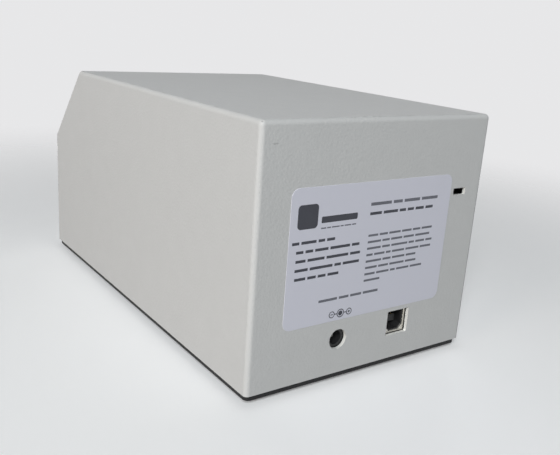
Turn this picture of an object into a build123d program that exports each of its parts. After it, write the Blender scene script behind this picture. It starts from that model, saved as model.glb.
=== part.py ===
"""Bench-top bright-field cell counter, in millimetres.

The origin is on the surface that the feet stand on, under the middle of the instrument.
+X is the user's right, -Y the front with the slide slot, +Z up.

A folded and welded sheet cover drops over a base plate that carries everything else: a lamp
and condenser that shine up through the slide stage, an objective on a carriage that the
front thumb wheel raises with a fine lead screw, a fold mirror under the sloped front, and a
camera on the level leg of the light path. The main board at the back holds both sockets.
"""

from build123d import *
import math
import os

os.makedirs("parts", exist_ok=True)

# ---------------------------------------------------------------- cover, base and feet
cover_width = 120.0
cover_depth = 221.0
cover_height = 106.5  # rim to top
knee_height = 66.0  # rim to the foot of the sloped front
slope_setback = 40.7  # from the front to the slope's upper end
sheet = 1.5
bend_radius = 2.0  # outside of each fold
base_thickness = 2.5
base_inset = 1.0
base_corner_radius = 2.5
foot_height = 2.0
foot_radius = 6.35
foot_edge_radius = 0.8
foot_stem_radius = 2.5
foot_barb = 1.0  # the barb's overhang
foot_barb_height = 2.5
foot_margin = 16.0  # foot centre to the base plate's edges
lug_length = 16.0  # L-shaped lugs welded inside the cover's sides
lug_reach = 8.0
lug_height = 14.0
lug_sheet = 2.0
lug_boss_height = 5.0
lug_boss_wall = 1.2
lug_front_margin = 60.0  # lug centre behind the cover's front
lug_rear_margin = 32.0  # lug centre before the cover's rear

# ---------------------------------------------------------------- rear openings and label
jack_x = 16.0
jack_height = 15.4  # centre above the rim
jack_hole_radius = 4.4
data_x = -17.5
data_height = 16.6
data_hole_width = 12.4
data_hole_height = 11.4
data_hole_corner = 0.5
lock_x = -46.2
lock_height = 73.0
lock_width = 7.6
lock_slot_height = 3.1
lock_corner = 0.4
label_x = 2.1
label_height = 52.7
label_width = 85.3
label_tall = 57.0
label_corner = 3.5
label_thickness = 0.15

# ---------------------------------------------------------------- slide slot, stage and guide
slide_width = 25.4
slide_thickness = 1.8
slide_reach = 55.0  # how far a seated slide reaches behind the front
viewed_offset = 15.0  # viewed spot to the slide's inner end
slide_plane_height = 26.5  # above the rim
stage_thickness = 5.0
stage_left = 32.0
stage_side_gap = 8.5  # stage's right edge to the inside of the cover
stage_corner = 4.0
stage_gap = 0.5  # bezel's inner end to the stage
light_hole_radius = 6.0
guide_side_play = 0.3
guide_rail_width = 6.0
guide_rail_height = 5.5
guide_stop = 4.0
guide_lead = 3.0  # length of the rails' tapered entry
guide_lead_width = 1.5
guide_screw_margin = 4.0
spring_strip = 0.3
spring_width = 8.0
spring_set = 20.0  # springs' centre behind the front
spring_reach = 3.6
spring_lift = 0.7
slide_head_room = 0.2
post_radius = 3.5
post_side_margin = 6.0
post_front_margin = 20.0
post_back_margin = 6.0
bezel_flange = 1.2
bezel_lip = 3.0
bezel_wall = 1.6
bezel_slot_width = 27.0
bezel_slot_height = 5.6
bezel_slot_drop = 0.5  # slot's lower edge below the stage's top
bezel_corner = 1.5
bezel_reach = 6.0  # flange to the inner end
light_radius = 1.5
light_flange = 0.8
light_body = 6.0

# ---------------------------------------------------------------- focus drive
wheel_radius = 18.0
wheel_thickness = 7.0
wheel_proud = 3.5
wheel_side_gap = 2.0  # wheel's rim to the inside of the cover
wheel_rise = 8.0  # wheel's underside above the stage
wheel_slot_play = 1.2
wheel_edge_radius = 0.8
wheel_rim = 4.0
wheel_dish = 2.0
wheel_grooves = 36
wheel_groove_radius = 0.8
hub_radius = 6.0
hub_screw_radius = 1.0
hub_screw_sink = 0.2
screw_radius = 3.0
screw_end = 2.0  # screw's length past its bearings
screw_chamfer = 0.5
screw_pitch = 0.5
focus_turns = 2.0  # wheel turns each way
running_fit = 0.06
bush_wall = 1.5
bush_flange = 1.5
bush_flange_thickness = 1.0
ring_thickness = 0.8
ring_reach = 1.8
ring_groove = 0.6
ring_gap_width = 3.0
ring_play = 0.1
nut_radius = 5.0
nut_flange_radius = 7.0
nut_flange = 2.0
carriage_thickness = 10.0
carriage_half_depth = 13.0
carriage_corner = 3.0
arm_radius = 8.0
rod_radius = 2.0
rod_bush_radius = 4.0
rod_wall = 2.0
rod_seat = 4.0  # length held in the stage and in the mirror block
working_gap = 1.0  # least gap between pieces that pass each other
bearing_leg = 4.0
bearing_foot = 12.0
bearing_inner_reach = 2.5  # bracket's edges either side of the screw
bearing_outer_reach = 11.5
bearing_nose = 6.0  # top leg's reach past the screw
bearing_corner = 3.0
bearing_screw_margin = 3.5

# ---------------------------------------------------------------- light path
objective_radius = 9.5
objective_nose_radius = 5.0
objective_bore_radius = 4.0
objective_flange_radius = 12.0
objective_flange = 2.0
objective_stub = 2.0
objective_drop = 11.0  # how far the barrel reaches below the carriage
objective_nose = 6.0
objective_lens_radius = 7.5
objective_lens = 3.0
objective_lens_seat = 5.0  # seat below the barrel's top
light_bore_radius = 8.0
level_bore_radius = 9.0  # bore along the camera's tube
mirror_half_depth = 17.0  # half the sloping face's height and depth
mirror_width = 30.0
mirror_length = 44.0
mirror_thickness = 3.0
mirror_block_half_width = 18.0
mirror_flange = 5.0
mirror_flange_half_depth = 8.0
upright_thickness = 5.0
upright_half_width = 34.0
upright_corner = 8.0
upright_foot = 15.0
upright_foot_thickness = 4.0
upright_rib = 4.0
upright_rib_height = 40.0
upright_screw_x = 22.0
edge_screw_x = 8.0  # screws through the upright into the stage's edge
cable_notch_half_width = 8.0
cable_notch_height = 16.0
tube_radius = 11.0
tube_wall = 1.2
tube_flange_radius = 19.0
tube_flange = 3.0
tube_seat = 2.0
camera_bracket = 4.0
camera_bracket_half_width = 22.0
camera_screw_x = 15.0
camera_side = 36.0
camera_depth = 30.0
camera_wall = 2.5
camera_corner = 3.0
camera_boss_half_width = 14.0
camera_boss_radius = 3.0
camera_pedestal_half_width = 9.0
sensor_stand = 6.0  # board's front face behind the bracket
sensor_board_side = 22.0
sensor_board_thickness = 1.6
sensor_side = 9.0
sensor_thickness = 1.5
lamp_block_width = 36.0
lamp_block_depth = 24.0
lamp_block_height = 6.0
lamp_screw_margin = 3.5
emitter_radius = 6.0
emitter_base = 1.2
emitter_dome_radius = 2.5
condenser_radius = 10.0
condenser_wall = 1.5
condenser_lens = 4.0
condenser_lens_drop = 1.5  # lens below the tube's upper end
condenser_ledge = 0.7

# ---------------------------------------------------------------- electronics
board_width = 88.0
board_depth = 60.0
board_thickness = 1.6
board_gap = 1.0  # board's edge to the inside of the back
board_clearance = 9.5  # camera's bracket to the board's front edge
board_hole_margin = 5.0
socket_gap = 0.4  # sockets' mouths to the inside of the back
data_shell_width = 12.0
data_shell_height = 11.0
data_shell_depth = 16.0
data_shell_wall = 0.4
data_cavity_width = 8.8
data_cavity_height = 8.2
data_cavity_depth = 9.0
data_cavity_chamfer = 1.7
data_mouth_lip = 0.5  # moulding that shows inside the shell's mouth
data_tongue_width = 5.6
data_tongue_height = 3.2
data_tongue_set = 3.0  # tongue's tip behind the mouth
jack_body_width = 9.0
jack_body_height = 11.0
jack_body_depth = 14.0
jack_bore_radius = 3.1
jack_bore_depth = 11.0
jack_pin_radius = 1.0
jack_pin_set = 2.0  # pin's tip behind the mouth
chip_side = 20.0
chip_thickness = 1.6
capacitor_radius = 4.0
capacitor_height = 10.0
capacitor_count = 3
capacitor_pitch = 10.0
connector_width = 10.0
connector_depth = 6.0
connector_height = 6.0
connector_pitch = 15.0
cable_radius = 1.6
cable_hole_play = 0.2
cable_seat = 3.0  # cable's length inside the lamp block
cable_sway = 4.0  # how far the lamp's cable wanders aside

# ---------------------------------------------------------------- fasteners
stem_fit = 0.1  # radial room round stems, screws and seated pieces
shank_radius = 1.5
head_ratio = 2.0  # head radius over shank radius
pan_head = 1.8
pan_recess = 0.4  # sunk heads below the surface
socket_ratio = 0.8
short_screw = 6.0
rail_screw = 9.5
long_screw = 13.0
head_radius = shank_radius * head_ratio
socket_radius = shank_radius * socket_ratio

# ---------------------------------------------------------------- places worked out from the sizes
rim_z = foot_height + base_thickness
top_z = rim_z + cover_height
front_y = wheel_proud - (cover_depth + wheel_proud + label_thickness) / 2
rear_y = front_y + cover_depth
inner_x = cover_width / 2 - sheet
inner_front_y = front_y + sheet
inner_rear_y = rear_y - sheet
base_half_width = cover_width / 2 - base_inset
base_front_y = front_y + base_inset
base_back_y = rear_y - base_inset
stage_top = rim_z + slide_plane_height
stage_bottom = stage_top - stage_thickness
stage_right = inner_x - stage_side_gap
stage_front_y = front_y + bezel_reach + stage_gap
stop_y = front_y + slide_reach
upright_y = stop_y + guide_stop + working_gap
upright_back_y = upright_y + upright_thickness
optic_y = stop_y - viewed_offset
guide_inner_x = slide_width / 2 + guide_side_play
guide_outer_x = guide_inner_x + guide_rail_width
rod_x = guide_outer_x + working_gap + rod_radius
guide_top = stage_top + guide_rail_height
sunk_seat = stage_top - pan_head - pan_recess
spring_y = front_y + spring_set
slot_z = stage_top - bezel_slot_drop + bezel_slot_height / 2
bezel_outer_width = bezel_slot_width + 2 * bezel_wall
bezel_outer_height = bezel_slot_height + 2 * bezel_wall
wheel_x = inner_x - wheel_side_gap - wheel_radius
wheel_y = front_y + wheel_radius - wheel_proud
wheel_bottom = stage_top + wheel_rise
wheel_top = wheel_bottom + wheel_thickness
wheel_z = (wheel_bottom + wheel_top) / 2
wheel_chord = math.sqrt(wheel_radius**2 - (wheel_y - inner_front_y) ** 2)
hub_bottom = stage_top + bush_flange_thickness
hub_screw_z = (hub_bottom + wheel_bottom) / 2
hub_screw_tip_y = wheel_y - screw_radius + hub_screw_sink
focus_travel = screw_pitch * focus_turns
carriage_bottom = wheel_top + nut_flange + focus_travel + working_gap
carriage_top = carriage_bottom + carriage_thickness
bearing_z = carriage_top + focus_travel + working_gap
bearing_back_y = wheel_y + wheel_radius + working_gap
bearing_foot_y = bearing_back_y + bearing_leg
bearing_inner_x = wheel_x - bearing_inner_reach
bearing_outer_x = wheel_x + bearing_outer_reach
objective_top = carriage_top + objective_flange + objective_stub
block_bottom = objective_top + focus_travel + working_gap
mirror_z = block_bottom + working_gap + mirror_half_depth
block_top = mirror_z + mirror_half_depth
data_z = rim_z + data_height
jack_z = rim_z + jack_height
board_bottom = data_z + data_shell_height / 2
board_top = board_bottom + board_thickness
board_back_y = inner_rear_y - board_gap
board_front_y = board_back_y - board_depth
camera_front_y = board_front_y - board_clearance
camera_y = camera_front_y - camera_bracket
camera_back_y = camera_front_y + camera_depth
socket_y = inner_rear_y - socket_gap
lamp_block_top = rim_z + lamp_block_height
condenser_top = stage_bottom - stage_gap
light_x = -wheel_x
light_z = wheel_z
lamp_cable_z = rim_z + lamp_block_height / 2
camera_cable_y = camera_back_y - camera_wall - 2 * camera_boss_radius

# ---------------------------------------------------------------- places of what repeats
lug_screw_x = inner_x - (lug_reach + lug_sheet) / 2 + lug_boss_wall / 2
lug_ys = (front_y + lug_front_margin, rear_y - lug_rear_margin)
cover_screw_places = [(side * lug_screw_x, y) for side in (-1, 1) for y in lug_ys]
foot_places = [
    (side * (base_half_width - foot_margin), y)
    for side in (-1, 1)
    for y in (base_front_y + foot_margin, base_back_y - foot_margin)
]
post_places = [
    (x, y)
    for x in (-stage_left + post_side_margin, stage_right - post_side_margin)
    for y in (stage_front_y + post_front_margin, upright_y - post_back_margin)
]
standoff_places = [
    (side * (board_width / 2 - board_hole_margin), y)
    for side in (-1, 1)
    for y in (board_front_y + board_hole_margin, board_back_y - board_hole_margin)
]
upright_screw_places = [(side * upright_screw_x, upright_back_y + upright_foot / 2) for side in (-1, 1)]
camera_foot_places = [(side * camera_screw_x, camera_y - upright_foot / 2) for side in (-1, 1)]
lamp_screw_places = [(side * (lamp_block_width / 2 - lamp_screw_margin), optic_y) for side in (-1, 1)]
base_screw_places = post_places + standoff_places + upright_screw_places + camera_foot_places
base_screw_places += lamp_screw_places
guide_screw_x = (guide_inner_x + guide_outer_x) / 2
guide_screw_ys = (spring_y, stop_y - guide_screw_margin)
guide_screw_places = [(side * guide_screw_x, y) for side in (-1, 1) for y in guide_screw_ys]
bearing_screw_places = [
    (x, bearing_foot_y + bearing_foot / 2)
    for x in (bearing_inner_x + bearing_screw_margin, bearing_outer_x - bearing_screw_margin)
]
flange_screw_offset = (tube_radius + tube_flange_radius) / 2 / math.sqrt(2)
corners = [(i, j) for i in (-1, 1) for j in (-1, 1)]
light_path_places = [(i * flange_screw_offset, mirror_z + j * flange_screw_offset) for i, j in corners]
stage_edge_places = [(side * edge_screw_x, (stage_top + stage_bottom) / 2) for side in (-1, 1)]
camera_screw_places = [(i * camera_boss_half_width, mirror_z + j * camera_boss_half_width) for i, j in corners]
connector_places = [(x, board_front_y + connector_depth) for x in (0, connector_pitch)]


# ---------------------------------------------------------------- shape helpers
def block(x0, x1, y0, y1, z0, z1):
    """A box between six limits."""
    return Pos((x0 + x1) / 2, (y0 + y1) / 2, (z0 + z1) / 2) * Box(x1 - x0, y1 - y0, z1 - z0)


def post(x, y, z0, z1, radius):
    """An upright cylinder."""
    return Pos(x, y, (z0 + z1) / 2) * Cylinder(radius, z1 - z0)


def bar(x, z, y0, y1, radius):
    """A cylinder along Y."""
    return Pos(x, (y0 + y1) / 2, z) * Rot(90, 0, 0) * Cylinder(radius, y1 - y0)


def taper(x, y, z0, z1, radius0, radius1):
    """An upright cone, radius0 at z0 and radius1 at z1."""
    return Pos(x, y, (z0 + z1) / 2) * Cone(radius0, radius1, z1 - z0)


def window(x, z, width, height, corner, y0, y1):
    """A bar along Y with a rounded rectangular section."""
    section = Plane.XZ * Pos(x, z) * RectangleRounded(width, height, corner)
    return Pos(0, y1, 0) * extrude(section, y1 - y0)


def hex_post(x, y, z0, z1, radius):
    """An upright six-sided bar."""
    return Pos(x, y, z0) * extrude(RegularPolygon(radius, 6), z1 - z0)


def upright_edges(shape):
    return shape.edges().filter_by(Axis.Z)


def lens(x, y, z0, z1, radius, bulge):
    """A lens with a flat underside and a domed top."""
    ball = (radius**2 + bulge**2) / (2 * bulge)
    return post(x, y, z0, z1, radius) & Pos(x, y, z1 - ball) * Sphere(ball)


def together(solids):
    """Several separate solids as one part."""
    return Compound(children=list(solids))


# ---------------------------------------------------------------- fasteners
def flat_screw(x, y):
    """A countersunk screw through the base plate from below."""
    z = foot_height
    head = taper(x, y, z, z + shank_radius, head_radius, shank_radius)
    socket = hex_post(x, y, z, z + shank_radius / 2, socket_radius)
    return head + post(x, y, z, z + short_screw, shank_radius) - socket


def flat_hole(x, y):
    """The countersunk hole that a flat screw fills."""
    z = foot_height
    sink = taper(x, y, z, z + shank_radius, head_radius + stem_fit, shank_radius + stem_fit)
    return sink + post(x, y, z, z + 2 * base_thickness, shank_radius + stem_fit)


def pan_screw(x, y, z, length):
    """A pan-head screw on a face at z, with its shank down."""
    head = post(x, y, z, z + pan_head, head_radius)
    head = chamfer(head.edges().group_by(Axis.Z)[-1], pan_head / 3)
    socket = hex_post(x, y, z + pan_head / 2, z + pan_head, socket_radius)
    return head + post(x, y, z - length, z, shank_radius) - socket


def level_screw(x, z, y, length, way):
    """A pan-head screw on a wall at y, with its shank towards way along Y."""
    turn = 90 if way > 0 else -90
    return Pos(x, y, z) * Rot(turn, 0, 0) * pan_screw(0, 0, 0, length)


def drill(x, y, z0, z1):
    """A clearance or tapped hole for a shank."""
    return post(x, y, z0, z1, shank_radius + stem_fit)


def drilled_post(x, y, z1):
    """A six-sided post on the base plate, drilled through."""
    return hex_post(x, y, rim_z, z1, post_radius) - drill(x, y, rim_z, z1)


# ---------------------------------------------------------------- cover
def side_outline(inset, drop):
    """The cover's side outline, moved in by inset, with its lower edge moved down by drop."""
    slope = math.atan2(cover_height - knee_height, slope_setback)
    knee_shift = inset * math.tan((math.pi / 2 - slope) / 2)
    crest_shift = inset * math.tan(slope / 2)
    return Polyline(
        (front_y + inset, rim_z - drop),
        (front_y + inset, rim_z + knee_height - knee_shift),
        (front_y + slope_setback + crest_shift, top_z - inset),
        (rear_y - inset, top_z - inset),
        (rear_y - inset, rim_z - drop),
        close=True,
    )


def folded_box(inset, drop):
    """A five-sided box whose folds are rounded about the sheet's bend centres."""
    solid = extrude(Plane.YZ * make_face(side_outline(inset, drop)), cover_width / 2 - inset, both=True)
    lowest = solid.edges().group_by(Axis.Z)[0]
    folds = [e for e in solid.edges() if e not in lowest]
    return fillet(folds, bend_radius - inset)


def cover():
    """The welded cover, open at the bottom, with its windows cut front and rear."""
    shell = folded_box(0, 0) - folded_box(sheet, sheet)
    front = (front_y - sheet, inner_front_y + sheet)
    rear = (inner_rear_y - sheet, rear_y + sheet)
    shell -= bar(jack_x, jack_z, *rear, jack_hole_radius)
    shell -= window(data_x, data_z, data_hole_width, data_hole_height, data_hole_corner, *rear)
    shell -= window(lock_x, rim_z + lock_height, lock_width, lock_slot_height, lock_corner, *rear)
    bezel_hole = (bezel_outer_width + 2 * stem_fit, bezel_outer_height + 2 * stem_fit, bezel_corner)
    shell -= window(0, slot_z, *bezel_hole, *front)
    wheel_slot = (2 * (wheel_chord + wheel_slot_play), wheel_thickness + 2 * wheel_slot_play, bezel_corner)
    shell -= window(wheel_x, wheel_z, *wheel_slot, *front)
    shell -= bar(light_x, light_z, *front, light_radius + stem_fit)
    return shell


def cover_lug(side, y):
    """An L-shaped lug welded inside the cover's side, with a tapped boss over the base plate."""
    y0, y1 = y - lug_length / 2, y + lug_length / 2
    wall = block(inner_x - lug_sheet, inner_x, y0, y1, rim_z, rim_z + lug_height)
    wall = fillet(wall.edges().filter_by(Axis.X).group_by(Axis.Z)[-1], lug_sheet)
    shelf = block(inner_x - lug_reach, inner_x, y0, y1, rim_z, rim_z + lug_sheet)
    shelf = fillet(upright_edges(shelf).group_by(Axis.X)[0], lug_sheet)
    boss = post(lug_screw_x, y, rim_z, rim_z + lug_boss_height, shank_radius + lug_boss_wall)
    lug = wall + shelf + boss - drill(lug_screw_x, y, rim_z, rim_z + lug_height)
    return lug if side > 0 else mirror(lug, Plane.YZ)


def rating_label():
    size = (label_width, label_tall, label_corner)
    return window(label_x, rim_z + label_height, *size, rear_y, rear_y + label_thickness)


# ---------------------------------------------------------------- base plate and feet
def base_plate():
    outline = RectangleRounded(2 * base_half_width, base_back_y - base_front_y, base_corner_radius)
    plate = Pos(0, (base_front_y + base_back_y) / 2, foot_height) * extrude(outline, base_thickness)
    for x, y in cover_screw_places + base_screw_places:
        plate -= flat_hole(x, y)
    for x, y in foot_places:
        plate -= post(x, y, foot_height, rim_z, foot_stem_radius + stem_fit)
    return plate


def rubber_foot(x, y):
    """A push-in foot: a pad, a stem through the plate and a barb above it."""
    pad = post(x, y, 0, foot_height, foot_radius)
    pad = fillet(pad.edges().group_by(Axis.Z)[0], foot_edge_radius)
    stem = post(x, y, foot_height, rim_z, foot_stem_radius)
    wide, narrow = foot_stem_radius + foot_barb, foot_stem_radius - foot_barb
    barb = taper(x, y, rim_z, rim_z + foot_barb_height, wide, narrow)
    return pad + stem + barb


# ---------------------------------------------------------------- front bezel and power light
def slide_bezel():
    """The moulded frame of the slide slot, with a flared mouth."""
    y0, y1 = front_y - bezel_flange, front_y + bezel_reach
    width, height = bezel_outer_width + 2 * bezel_lip, bezel_outer_height + 2 * bezel_lip
    flange = window(0, slot_z, width, height, bezel_corner + bezel_lip, y0, front_y)
    flange = chamfer(flange.edges().group_by(Axis.Y)[0], bezel_flange / 2)
    sleeve = window(0, slot_z, bezel_outer_width, bezel_outer_height, bezel_corner, front_y, y1)
    throat = window(0, slot_z, bezel_slot_width, bezel_slot_height, bezel_corner / 2, y0, y1)
    wide = Pos(0, slot_z) * RectangleRounded(bezel_outer_width, bezel_outer_height, bezel_corner)
    narrow = Pos(0, slot_z) * RectangleRounded(bezel_slot_width, bezel_slot_height, bezel_corner / 2)
    mouth = loft([Plane.XZ.offset(-y0) * wide, Plane.XZ.offset(-front_y - bezel_wall) * narrow])
    return flange + sleeve - throat - mouth


def power_light():
    """A light pipe pushed through the cover from behind."""
    pipe = bar(light_x, light_z, front_y - light_flange, inner_front_y + light_body, light_radius)
    pipe = fillet(pipe.edges().group_by(Axis.Y)[0], light_flange)
    collar = bar(light_x, light_z, inner_front_y, inner_front_y + light_flange, 2 * light_radius)
    return pipe + collar


# ---------------------------------------------------------------- stage
def stage_plate():
    plate = block(-stage_left, stage_right, stage_front_y, upright_y, stage_bottom, stage_top)
    plate = fillet(upright_edges(plate).group_by(Axis.Y)[0], stage_corner)
    plate -= post(0, optic_y, stage_bottom, stage_top, light_hole_radius)
    plate -= post(wheel_x, wheel_y, stage_bottom, stage_top, screw_radius + bush_wall + stem_fit)
    for side in (-1, 1):
        plate -= post(side * rod_x, optic_y, stage_top - rod_seat, stage_top, rod_radius + stem_fit)
    for x, y in post_places:
        plate -= drill(x, y, stage_bottom, stage_top)
        plate -= post(x, y, sunk_seat, stage_top, head_radius + stem_fit)
    for x, y in guide_screw_places + bearing_screw_places:
        plate -= drill(x, y, stage_bottom, stage_top)
    for x, z in stage_edge_places:
        plate -= bar(x, z, upright_back_y - long_screw - working_gap, upright_y, shank_radius + stem_fit)
    return plate


def stage_posts():
    return together(drilled_post(x, y, stage_bottom) for x, y in post_places)


def slide_guide():
    """Two rails and the end stop in one moulding, with a tapered entry."""
    solid = block(-guide_outer_x, guide_outer_x, stage_front_y, stop_y + guide_stop, stage_top, guide_top)
    solid -= block(-guide_inner_x, guide_inner_x, stage_front_y, stop_y, stage_top, guide_top)
    for side in (-1, 1):
        corner = (side * guide_inner_x, stage_front_y)
        far = (side * (guide_inner_x + guide_lead_width), stage_front_y)
        wedge = make_face(Polyline(corner, far, (corner[0], stage_front_y + guide_lead), close=True))
        solid -= Pos(0, 0, stage_top) * extrude(wedge, guide_rail_height)
    for x, y in guide_screw_places:
        solid -= drill(x, y, stage_top, guide_top)
    return solid


def slide_spring(side):
    """A bent strip under a rail screw, whose finger reaches over the slide's edge."""
    top = guide_top + spring_strip / 2
    low = stage_top + slide_thickness + slide_head_room + spring_strip
    tip_x = guide_inner_x - spring_reach
    fold_x = guide_inner_x - 2 * spring_strip
    tip = (tip_x, low + spring_lift)
    line = Polyline((guide_outer_x, top), (fold_x, top), (tip_x + spring_lift, low), tip)
    section = Plane.XZ * trace(line, spring_strip)
    strip = Pos(0, spring_y + spring_width / 2, 0) * extrude(section, spring_width)
    strip -= drill(guide_screw_x, spring_y, stage_top, guide_top + 2 * spring_strip)
    return strip if side > 0 else mirror(strip, Plane.YZ)


# ---------------------------------------------------------------- focus drive
def focus_wheel():
    """The grooved thumb wheel with a dished top and a hub below."""
    wheel = post(wheel_x, wheel_y, wheel_bottom, wheel_top, wheel_radius)
    wheel = fillet(wheel.edges().filter_by(GeomType.CIRCLE), wheel_edge_radius)
    for k in range(wheel_grooves):
        angle = 2 * math.pi * (k + 0.5) / wheel_grooves
        x = wheel_x + wheel_radius * math.cos(angle)
        y = wheel_y + wheel_radius * math.sin(angle)
        wheel -= post(x, y, wheel_bottom, wheel_top, wheel_groove_radius)
    dish = post(wheel_x, wheel_y, wheel_top - wheel_dish, wheel_top, wheel_radius - wheel_rim)
    wheel -= dish - post(wheel_x, wheel_y, wheel_bottom, wheel_top, hub_radius)
    wheel += post(wheel_x, wheel_y, hub_bottom, wheel_bottom, hub_radius)
    wheel -= post(wheel_x, wheel_y, hub_bottom, wheel_top, screw_radius + stem_fit)
    return wheel - bar(wheel_x, hub_screw_z, wheel_y - hub_radius, wheel_y, hub_screw_radius + stem_fit)


def hub_set_screw():
    """The grub screw that clamps the hub on the lead screw."""
    y0 = wheel_y - hub_radius + hub_screw_sink
    return bar(wheel_x, hub_screw_z, y0, hub_screw_tip_y, hub_screw_radius)


def lead_screw():
    bottom = stage_bottom - ring_play - ring_thickness - screw_end
    shaft = post(wheel_x, wheel_y, bottom, bearing_z + bearing_leg + screw_end, screw_radius)
    shaft = chamfer(shaft.edges().filter_by(GeomType.CIRCLE), screw_chamfer)
    groove_top = stage_bottom - ring_play
    groove = post(wheel_x, wheel_y, groove_top - ring_thickness, groove_top, screw_radius)
    groove -= post(wheel_x, wheel_y, groove_top - ring_thickness, groove_top, screw_radius - ring_groove)
    seat = bar(wheel_x, hub_screw_z, wheel_y - screw_radius, hub_screw_tip_y, hub_screw_radius)
    return shaft - groove - seat


def retaining_ring():
    """A snap ring in the screw's groove, open on one side."""
    z1 = stage_bottom - ring_play
    z0 = z1 - ring_thickness
    ring = post(wheel_x, wheel_y, z0, z1, screw_radius + ring_reach)
    ring -= post(wheel_x, wheel_y, z0, z1, screw_radius - ring_groove)
    half = ring_gap_width / 2
    return ring - block(wheel_x, wheel_x + screw_radius + ring_reach, wheel_y - half, wheel_y + half, z0, z1)


def flanged_bush(z0, z1, flange_z):
    """A plain bearing from z0 to z1 with its flange standing on flange_z."""
    outer = screw_radius + bush_wall
    bush = post(wheel_x, wheel_y, z0, z1, outer)
    bush += post(wheel_x, wheel_y, flange_z, flange_z + bush_flange_thickness, outer + bush_flange)
    return bush - post(wheel_x, wheel_y, z0 - 1, z1 + 1, screw_radius + running_fit)


def bearing_bracket():
    """The bent bracket that steadies the top of the lead screw."""
    top = bearing_z + bearing_leg
    nose_y = wheel_y - bearing_nose
    outline = Polyline(
        (bearing_foot_y + bearing_foot, stage_top),
        (bearing_back_y, stage_top),
        (bearing_back_y, bearing_z),
        (nose_y, bearing_z),
        (nose_y, top),
        (bearing_foot_y, top),
        (bearing_foot_y, stage_top + bearing_leg),
        (bearing_foot_y + bearing_foot, stage_top + bearing_leg),
        close=True,
    )
    section = Plane.YZ.offset(bearing_inner_x) * make_face(outline)
    solid = extrude(section, bearing_outer_x - bearing_inner_x)
    bends = [e for e in solid.edges().filter_by(Axis.X) if abs(e.center().Y - bearing_foot_y) < 0.1]
    solid = fillet(bends, bearing_corner)
    solid += post(wheel_x, wheel_y, bearing_z, top, screw_radius + bush_wall + bearing_screw_margin)
    solid -= post(wheel_x, wheel_y, bearing_z - 1, top + 1, screw_radius + bush_wall + stem_fit)
    for x, y in bearing_screw_places:
        solid -= drill(x, y, stage_top, stage_top + bearing_leg)
    return solid


def focus_nut():
    """The flanged nut in the carriage's arm; its bore stands for the thread's running fit."""
    nut = post(wheel_x, wheel_y, carriage_bottom, carriage_top, nut_radius)
    nut_bottom = carriage_bottom - nut_flange
    nut += post(wheel_x, wheel_y, nut_bottom, carriage_bottom, nut_flange_radius)
    return nut - post(wheel_x, wheel_y, nut_bottom, carriage_top, screw_radius + running_fit)


def focus_carriage():
    """The carriage: a block on both guide rods and an arm to the nut."""
    half_width = rod_x + rod_bush_radius + rod_wall
    y0, y1 = optic_y - carriage_half_depth, optic_y + carriage_half_depth
    body = block(-half_width, half_width, y0, y1, carriage_bottom, carriage_top)
    body = fillet(upright_edges(body), carriage_corner)
    root = Pos(rod_x - arm_radius, optic_y - arm_radius / 2) * Circle(arm_radius)
    tip = Pos(wheel_x, wheel_y) * Circle(arm_radius)
    body += Pos(0, 0, carriage_bottom) * extrude(make_hull(root.edges() + tip.edges()), carriage_thickness)
    body -= post(0, optic_y, carriage_bottom, carriage_top, objective_radius + stem_fit)
    body -= post(wheel_x, wheel_y, carriage_bottom, carriage_top, nut_radius + stem_fit)
    for side in (-1, 1):
        body -= post(side * rod_x, optic_y, carriage_bottom, carriage_top, rod_bush_radius + stem_fit)
    return body


def rod_bush(side):
    bush = post(side * rod_x, optic_y, carriage_bottom, carriage_top, rod_bush_radius)
    return bush - post(side * rod_x, optic_y, carriage_bottom, carriage_top, rod_radius + running_fit)


def guide_rod(side):
    return post(side * rod_x, optic_y, stage_top - rod_seat, block_bottom + rod_seat, rod_radius)


# ---------------------------------------------------------------- light path
def objective_barrel():
    """A turned barrel: tapered nose, straight body, flange on the carriage and a lens seat."""
    low = carriage_bottom - objective_drop
    shoulder = low + objective_nose
    flange_top = carriage_top + objective_flange
    seat = objective_top - objective_lens_seat
    outline = Polyline(
        (objective_bore_radius, low),
        (objective_nose_radius, low),
        (objective_radius, shoulder),
        (objective_radius, carriage_top),
        (objective_flange_radius, carriage_top),
        (objective_flange_radius, flange_top),
        (objective_radius, flange_top),
        (objective_radius, objective_top),
        (objective_lens_radius + stem_fit, objective_top),
        (objective_lens_radius + stem_fit, seat),
        (objective_bore_radius, seat),
        close=True,
    )
    return Pos(0, optic_y, 0) * revolve(Plane.XZ * make_face(outline), Axis.Z)


def mirror_block():
    """The block that turns the light path: a 45 degree face, two crossing bores and rod seats."""
    front = optic_y - mirror_half_depth
    outline = Polyline(
        (front, block_bottom),
        (upright_y, block_bottom),
        (upright_y, block_top),
        (optic_y + mirror_half_depth, block_top),
        (front, mirror_z - mirror_half_depth),
        close=True,
    )
    solid = extrude(Plane.YZ * make_face(outline), mirror_block_half_width, both=True)
    ear = rod_x + rod_radius + rod_wall
    y0, y1 = optic_y - mirror_flange_half_depth, optic_y + mirror_flange_half_depth
    ears = block(-ear, ear, y0, y1, block_bottom, block_bottom + mirror_flange)
    solid += fillet(upright_edges(ears), carriage_corner)
    solid -= post(0, optic_y, block_bottom, mirror_z + light_bore_radius, light_bore_radius)
    solid -= bar(0, mirror_z, optic_y - level_bore_radius, upright_y, level_bore_radius)
    for side in (-1, 1):
        solid -= post(side * rod_x, optic_y, block_bottom, block_bottom + rod_seat, rod_radius + stem_fit)
    drill_end = upright_back_y + tube_flange - long_screw - working_gap
    for x, z in light_path_places:
        solid -= bar(x, z, drill_end, upright_y, shank_radius + stem_fit)
    return solid


def fold_mirror():
    lift = mirror_thickness / 2 / math.sqrt(2)
    plate = Rot(45, 0, 0) * Box(mirror_width, mirror_length, mirror_thickness)
    return Pos(0, optic_y - lift, mirror_z + lift) * plate


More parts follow.
